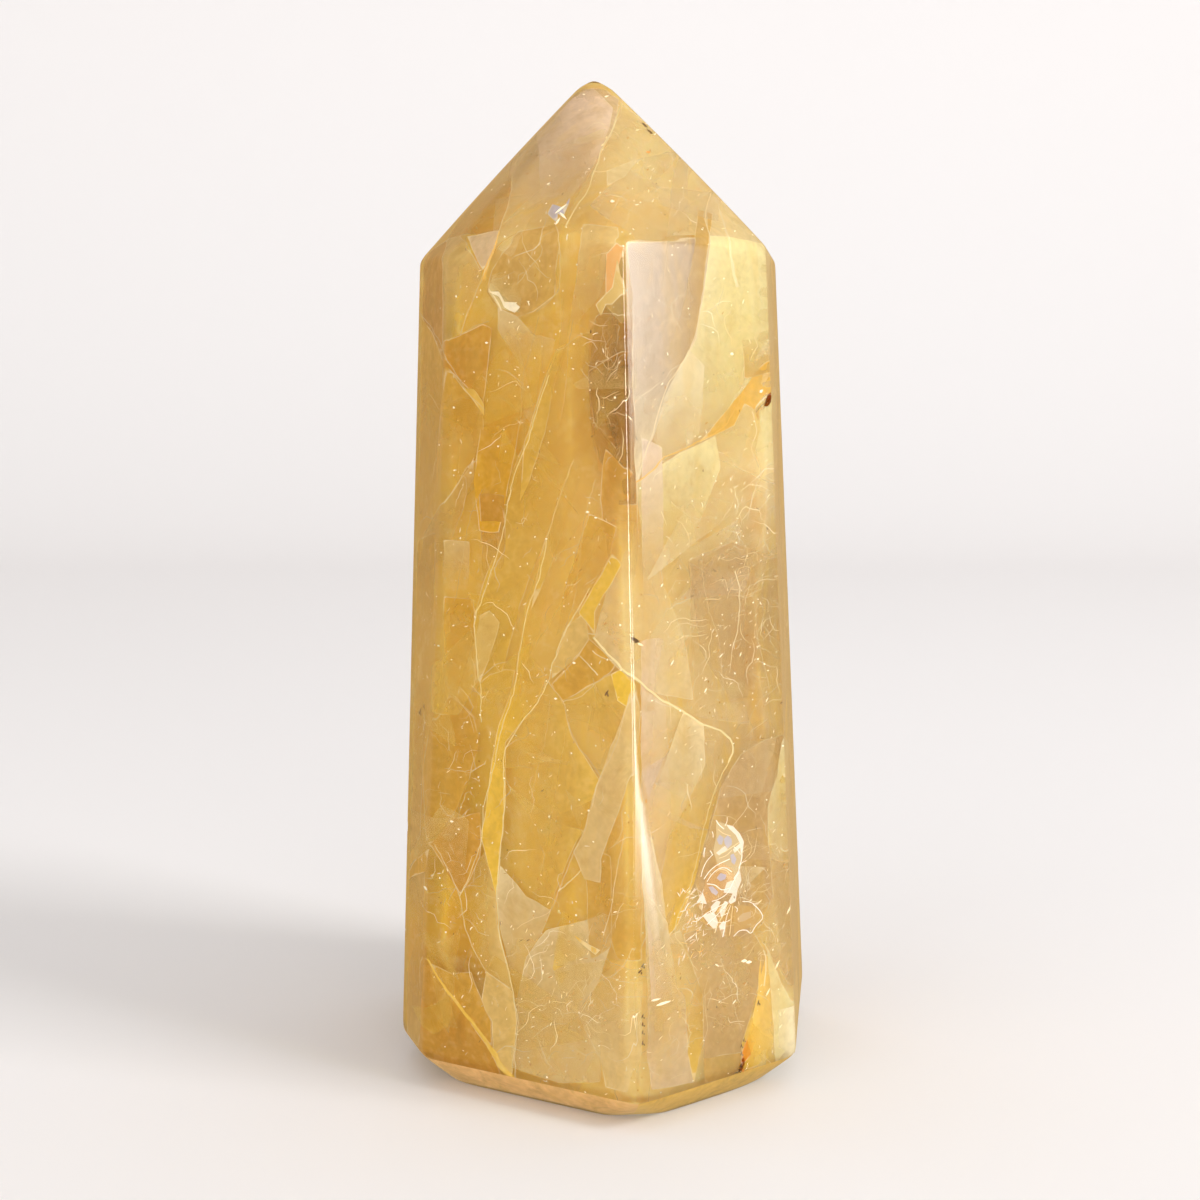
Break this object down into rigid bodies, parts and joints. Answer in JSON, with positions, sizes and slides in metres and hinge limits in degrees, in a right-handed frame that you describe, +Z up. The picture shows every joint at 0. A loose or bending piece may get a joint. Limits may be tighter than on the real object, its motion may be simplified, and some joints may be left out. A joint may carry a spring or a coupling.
{
  "type": "golden healer quartz tower",
  "caption": "Polished quartz point with long flat sides, a pyramid tip, golden veils inside and a flat bevelled base that it stands on.",
  "frame": {"origin": "middle of the flat base, where the tower stands", "axes": "+Z up along the tower to its tip, -Y towards the edge between its two front sides, +X to the right"},
  "size_m": [0.043, 0.0524, 0.1],
  "materials": {
    "golden_quartz": "polished translucent golden quartz with veils, healed fractures and iron stains inside"
  },
  "bodies": {
    "root": {"quartz_tower": "golden_quartz"}
  },
  "joints": []
}
